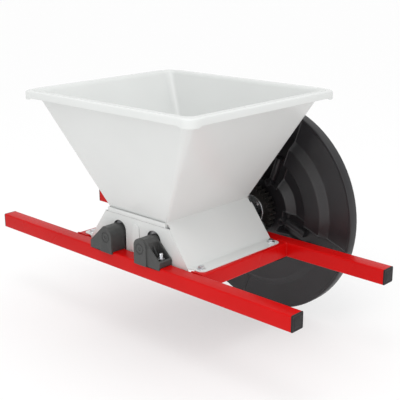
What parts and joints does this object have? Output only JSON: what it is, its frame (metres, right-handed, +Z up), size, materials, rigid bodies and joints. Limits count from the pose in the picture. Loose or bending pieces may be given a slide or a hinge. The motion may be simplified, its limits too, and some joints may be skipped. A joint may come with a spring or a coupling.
{
  "type": "hand fruit crusher",
  "caption": "Hand-turned fruit crusher: a sheet hopper over geared lobed rollers in plastic bearing blocks, on a tube frame laid across a vat, with a flywheel and crank grip.",
  "frame": {"origin": "centre of the frame, on the plane of the undersides of the two long rails, which rest on the vat", "axes": "+X along the long rails, +Y from the front rail to the flywheel side, +Z up through the hopper"},
  "size_m": [0.8, 0.5426, 0.494],
  "materials": {
    "frame_paint": "glossy red paint over welded tube",
    "hopper_enamel": "glossy off-white enamel on folded sheet",
    "cap_plastic": "matt black moulded plastic",
    "block_plastic": "satin dark grey moulded nylon",
    "wheel_plastic": "satin black moulding",
    "grip_plastic": "glossy black moulded plastic",
    "zinc_plate": "bright zinc plate",
    "bright_steel": "drawn steel bar",
    "cast_aluminium": "as-cast aluminium with turned ends",
    "gear_iron": "dark oiled iron, cut teeth"
  },
  "bodies": {
    "frame": {"front_rail": "frame_paint", "rear_rail": "frame_paint", "left_crossbar": "frame_paint", "right_crossbar": "frame_paint", "front_left_cap": "cap_plastic", "front_right_cap": "cap_plastic", "rear_left_cap": "cap_plastic", "rear_right_cap": "cap_plastic", "funnel": "hopper_enamel", "front_plate": "hopper_enamel", "rear_plate": "hopper_enamel", "left_skirt": "hopper_enamel", "right_skirt": "hopper_enamel", "housing_screws": "zinc_plate", "housing_washers": "zinc_plate", "front_left_block": "block_plastic", "front_right_block": "block_plastic", "rear_left_block": "block_plastic", "rear_right_block": "block_plastic", "block_bolts": "zinc_plate", "block_washers": "zinc_plate", "block_nuts": "zinc_plate"},
    "drive": {"drive_shaft": "bright_steel", "drive_roller": "cast_aluminium", "drive_roller_pins": "bright_steel", "drive_gear": "gear_iron", "drive_gear_flange": "zinc_plate", "drive_gear_screws": "zinc_plate", "drive_gear_key": "bright_steel", "flywheel": "wheel_plastic", "flywheel_key": "bright_steel", "flywheel_washer": "zinc_plate", "flywheel_nut": "zinc_plate", "handle_spindle": "zinc_plate", "handle_nut": "zinc_plate", "handle_washers": "zinc_plate"},
    "driven": {"driven_shaft": "bright_steel", "driven_roller": "cast_aluminium", "driven_roller_pins": "bright_steel", "driven_gear": "gear_iron", "driven_gear_flange": "zinc_plate", "driven_gear_screws": "zinc_plate", "driven_gear_key": "bright_steel", "driven_gear_washer": "zinc_plate", "driven_gear_bolt": "zinc_plate"},
    "grip": {"handle_grip": "grip_plastic"}
  },
  "joints": [
    {"name": "flywheel_spin", "type": "hinge", "parent": "frame", "child": "drive", "pos_m": [0.0485, 0, 0.061], "axis": [0, 1, 0], "continuous": true},
    {"name": "driven_roller_spin", "type": "hinge", "parent": "frame", "child": "driven", "pos_m": [-0.0485, 0, 0.061], "axis": [0, 1, 0], "continuous": true},
    {"name": "grip_spin", "type": "hinge", "parent": "drive", "child": "grip", "pos_m": [-0.10655, 0.28, 0.11743], "axis": [0, 1, 0], "continuous": true}
  ],
  "couplings": [
    {"joint": "driven_roller_spin", "follows": "flywheel_spin", "ratio": -1}
  ]
}
